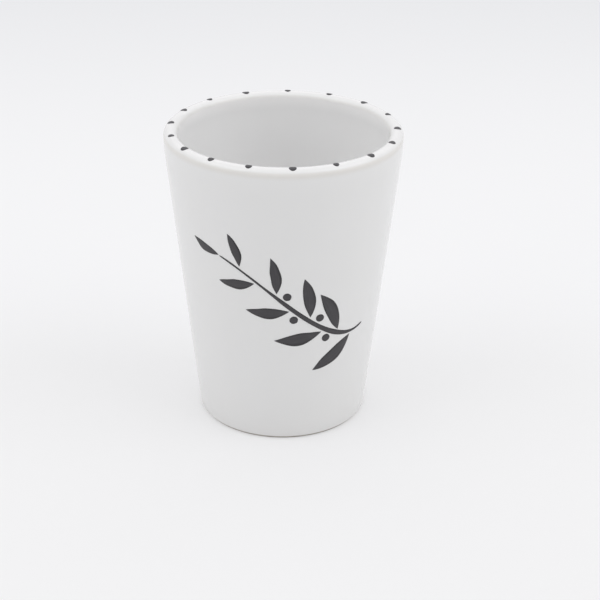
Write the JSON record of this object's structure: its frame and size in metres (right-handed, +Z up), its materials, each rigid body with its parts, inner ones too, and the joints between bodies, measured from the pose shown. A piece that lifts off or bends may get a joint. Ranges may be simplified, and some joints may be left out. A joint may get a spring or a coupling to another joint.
{
  "type": "ceramic shot cup",
  "caption": "Tapered white glazed ceramic cup for a short drink, with a full-round lip, a bare foot ring, enamel dots round the lip and a brushed leaf sprig on its front wall.",
  "frame": {"origin": "centre of the foot ring on the surface that the cup stands on", "axes": "+Z up along the cup's axis, -Y out of the painted front, +X to the right of that front"},
  "size_m": [0.05, 0.05, 0.0648],
  "materials": {
    "fired_clay": "matte",
    "white_glaze": "gloss",
    "charcoal_enamel": "satin"
  },
  "bodies": {
    "root": {"clay_body": "fired_clay", "glaze_coat": "white_glaze", "base_glaze": "white_glaze", "rim_dot_1": "charcoal_enamel", "rim_dot_2": "charcoal_enamel", "rim_dot_3": "charcoal_enamel", "rim_dot_4": "charcoal_enamel", "rim_dot_5": "charcoal_enamel", "rim_dot_6": "charcoal_enamel", "rim_dot_7": "charcoal_enamel", "rim_dot_8": "charcoal_enamel", "rim_dot_9": "charcoal_enamel", "rim_dot_10": "charcoal_enamel", "rim_dot_11": "charcoal_enamel", "rim_dot_12": "charcoal_enamel", "rim_dot_13": "charcoal_enamel", "rim_dot_14": "charcoal_enamel", "rim_dot_15": "charcoal_enamel", "rim_dot_16": "charcoal_enamel", "rim_dot_17": "charcoal_enamel", "sprig_stem": "charcoal_enamel", "sprig_leaf_1": "charcoal_enamel", "sprig_leaf_2": "charcoal_enamel", "sprig_leaf_3": "charcoal_enamel", "sprig_leaf_4": "charcoal_enamel", "sprig_leaf_5": "charcoal_enamel", "sprig_leaf_6": "charcoal_enamel", "sprig_leaf_7": "charcoal_enamel", "sprig_leaf_8": "charcoal_enamel", "sprig_leaf_9": "charcoal_enamel", "sprig_berry_1": "charcoal_enamel", "sprig_berry_2": "charcoal_enamel", "sprig_berry_3": "charcoal_enamel", "sprig_berry_4": "charcoal_enamel"}
  },
  "joints": []
}
